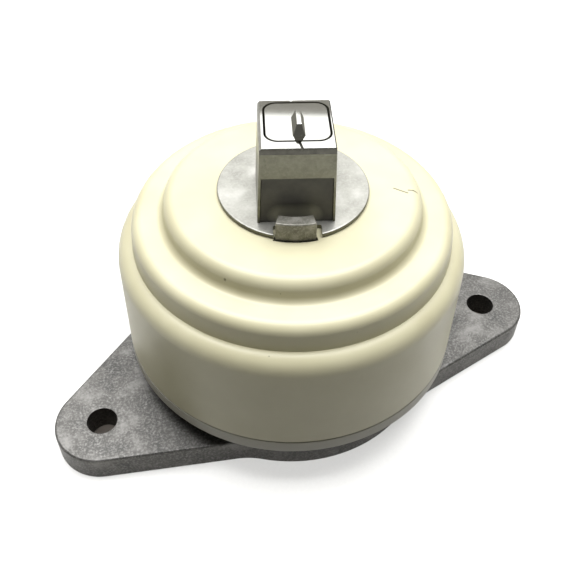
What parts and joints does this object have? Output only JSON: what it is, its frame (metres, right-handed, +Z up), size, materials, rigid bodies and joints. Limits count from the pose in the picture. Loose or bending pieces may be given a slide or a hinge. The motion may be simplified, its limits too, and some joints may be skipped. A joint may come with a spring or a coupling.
{
  "type": "hydraulic engine mount",
  "caption": "Fluid-filled engine mount: cast flange with bolt ears, rubber-sprung core under a stepped bell-shaped cover, square head with a locating wedge and a threaded rear hole.",
  "frame": {"origin": "on the cover's axis, level with the flange's underside", "axes": "+X along the line through the two bolt holes, -Y towards the ears' offset side, +Z up along the stroke"},
  "size_m": [0.1904, 0.1216, 0.1153],
  "materials": {
    "cast_aluminium": "die-cast, shot-blasted",
    "cast_head": "cast, light grain",
    "machined_aluminium": "machined top, cast elsewhere",
    "cream_plastic": "moulded, satin",
    "grey_plastic": "moulded, satin",
    "zinc_steel": "zinc plated",
    "black_rubber": "moulded, matte",
    "track_plastic": "moulded glass-filled nylon"
  },
  "bodies": {
    "base": {"base_housing": "cast_aluminium", "bottom_cup": "zinc_steel", "diaphragm": "black_rubber", "lower_track_plate": "track_plastic", "upper_track_plate": "track_plastic", "track_gasket": "black_rubber", "spring_outer_ring": "zinc_steel", "main_spring": "black_rubber", "crimp_collar": "zinc_steel", "bump_ring": "black_rubber", "track_rivet_1": "zinc_steel", "track_rivet_2": "zinc_steel", "track_rivet_3": "zinc_steel"},
    "sprung_head": {"core": "machined_aluminium", "cover": "cream_plastic", "cover_ring": "grey_plastic", "head_block": "cast_head", "front_pad": "black_rubber", "thread_insert": "zinc_steel"},
    "decoupler": {"decoupler_disc": "black_rubber"},
    "bellows_centre": {"diaphragm_plate": "track_plastic"}
  },
  "joints": [
    {"name": "core_bounce", "type": "slide", "parent": "base", "child": "sprung_head", "axis": [0, 0, 1], "range_m": [-0.008, 0.0048], "stiffness_N_per_m": 150000, "deforming": ["main_spring"]},
    {"name": "decoupler_float", "type": "slide", "parent": "base", "child": "decoupler", "axis": [0, 0, 1], "range_m": [-0.0007, 0.0007]},
    {"name": "bellows_breathe", "type": "slide", "parent": "base", "child": "bellows_centre", "axis": [0, 0, 1], "range_m": [-0.0072, 0.0045], "deforming": ["diaphragm"]}
  ],
  "couplings": [
    {"joint": "bellows_breathe", "follows": "core_bounce", "ratio": 0.87}
  ]
}
